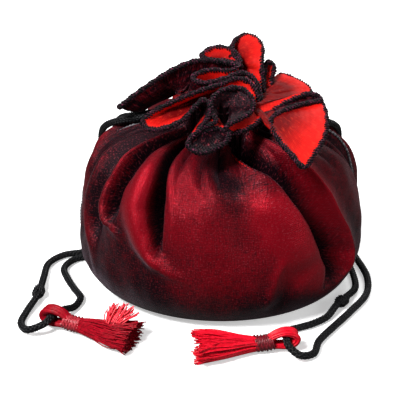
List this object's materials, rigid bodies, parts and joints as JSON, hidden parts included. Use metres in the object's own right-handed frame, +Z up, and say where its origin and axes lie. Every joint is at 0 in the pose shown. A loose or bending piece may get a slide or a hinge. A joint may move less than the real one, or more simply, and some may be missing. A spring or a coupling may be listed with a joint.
{
  "type": "drawstring dice bag",
  "caption": "Round-bottomed fabric pouch with a satin lining, a ruffled overlocked rim above a gathered casing, and two drawcords that each end in a tassel.",
  "frame": {"origin": "middle of the flat underside of the bag, on the surface it stands on", "axes": "+Z up, +X to the bag's right side seam, -Y to the front, where the two tassels lie"},
  "size_m": [0.1439, 0.1282, 0.1075],
  "materials": {
    "taffeta": "shot taffeta, crimson and black threads, soft sheen",
    "satin": "bright red satin",
    "seam_thread": "sewing thread",
    "overlock_thread": "black and dark plum overlock thread",
    "cord": "black braided cord",
    "rayon": "shiny red rayon thread",
    "whipping": "dark red thread wound tight"
  },
  "bodies": {
    "bag": {"outer_front_base": "taffeta", "outer_front_side": "taffeta", "outer_front_shoulder": "taffeta", "outer_back_base": "taffeta", "outer_back_side": "taffeta", "outer_back_shoulder": "taffeta", "outer_side_seam": "seam_thread", "lining_front_panel": "satin", "lining_back_panel": "satin", "lining_side_seam": "seam_thread", "casing_front": "taffeta", "casing_back": "taffeta", "casing_lining_front": "satin", "casing_lining_back": "satin", "casing_stitch_lower": "seam_thread", "casing_stitch_upper": "seam_thread", "ruffle_outer_front": "taffeta", "ruffle_outer_back": "taffeta", "ruffle_lining_front": "satin", "ruffle_lining_back": "satin", "rim_overlock": "overlock_thread", "left_cord_ring": "cord", "right_cord_ring": "cord"},
    "left_cord": {"left_drawcord": "cord", "left_cord_knot": "cord"},
    "left_tassel": {"left_tassel_loop": "rayon", "left_tassel_whipping": "whipping", "left_tassel_skirt": "rayon"},
    "right_cord": {"right_drawcord": "cord", "right_cord_knot": "cord"},
    "right_tassel": {"right_tassel_loop": "rayon", "right_tassel_whipping": "whipping", "right_tassel_skirt": "rayon"}
  },
  "joints": [
    {"name": "left_cord_pull", "type": "slide", "parent": "bag", "child": "left_cord", "axis": [-1, 0, 0], "range_m": [0, 0.012]},
    {"name": "left_tassel_swing", "type": "hinge", "parent": "left_cord", "child": "left_tassel", "pos_m": [-0.066, -0.0435, 0.00565], "axis": [0, 0, 1], "range_deg": [-25, 8]},
    {"name": "right_cord_pull", "type": "slide", "parent": "bag", "child": "right_cord", "axis": [1, 0, 0], "range_m": [0, 0.012]},
    {"name": "right_tassel_swing", "type": "hinge", "parent": "right_cord", "child": "right_tassel", "pos_m": [0.024, -0.06, 0.00565], "axis": [0, 0, 1], "range_deg": [-10, 25]}
  ]
}
